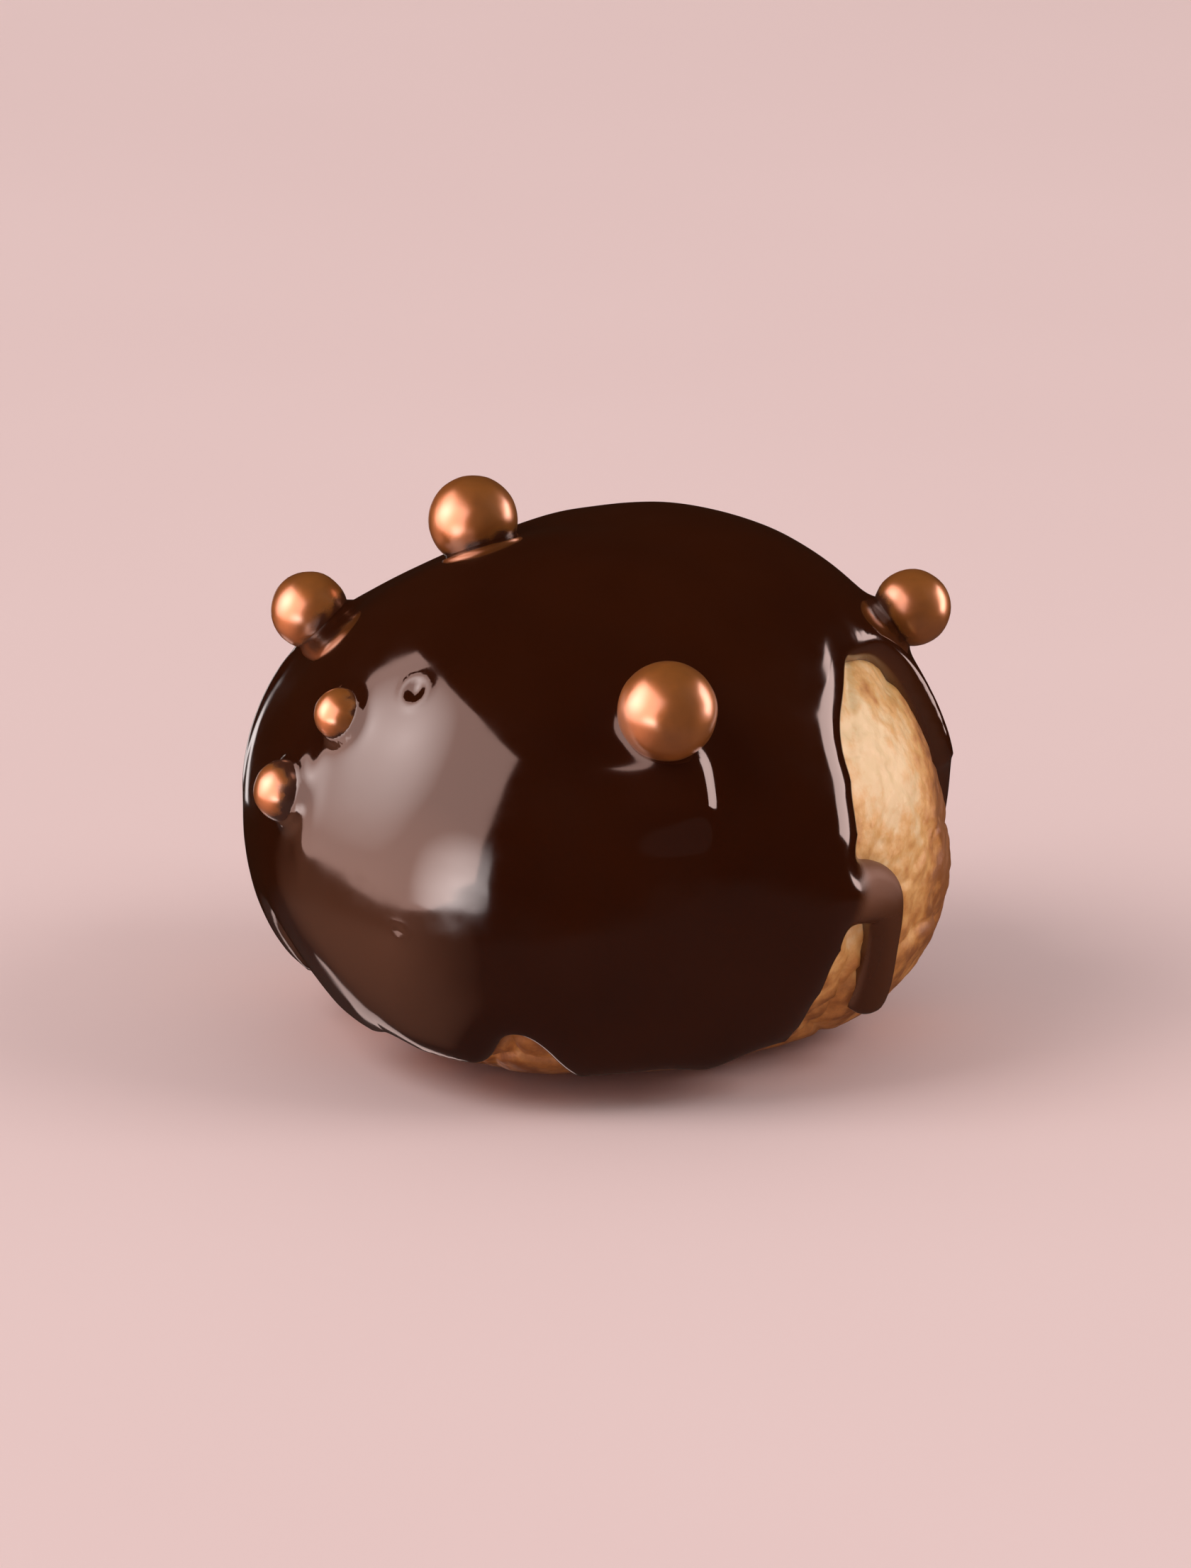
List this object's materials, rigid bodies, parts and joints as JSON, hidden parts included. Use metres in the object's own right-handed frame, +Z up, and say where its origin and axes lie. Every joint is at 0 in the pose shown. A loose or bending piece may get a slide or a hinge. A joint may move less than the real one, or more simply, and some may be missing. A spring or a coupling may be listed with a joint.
{
  "type": "profiterole",
  "caption": "Small round choux bun under a coat of glossy dark chocolate that hangs down in drips, with metallic sugar pearls stuck to it.",
  "frame": {"origin": "middle of the flat base that the bun stands on", "axes": "+Z up from the base; -Y is the front, the side in the picture; +X is its right-hand side, where the widest arch in the coat is"},
  "size_m": [0.0459, 0.0514, 0.0357],
  "materials": {
    "choux_bun": "baked crust, golden and matt, a little browner on its ridges",
    "chocolate_coat": "poured dark chocolate, wet and glossy; the sugar pearls on it are satin copper-gold"
  },
  "bodies": {
    "root": {"choux_bun": "choux_bun", "chocolate_coat": "chocolate_coat"}
  },
  "joints": []
}
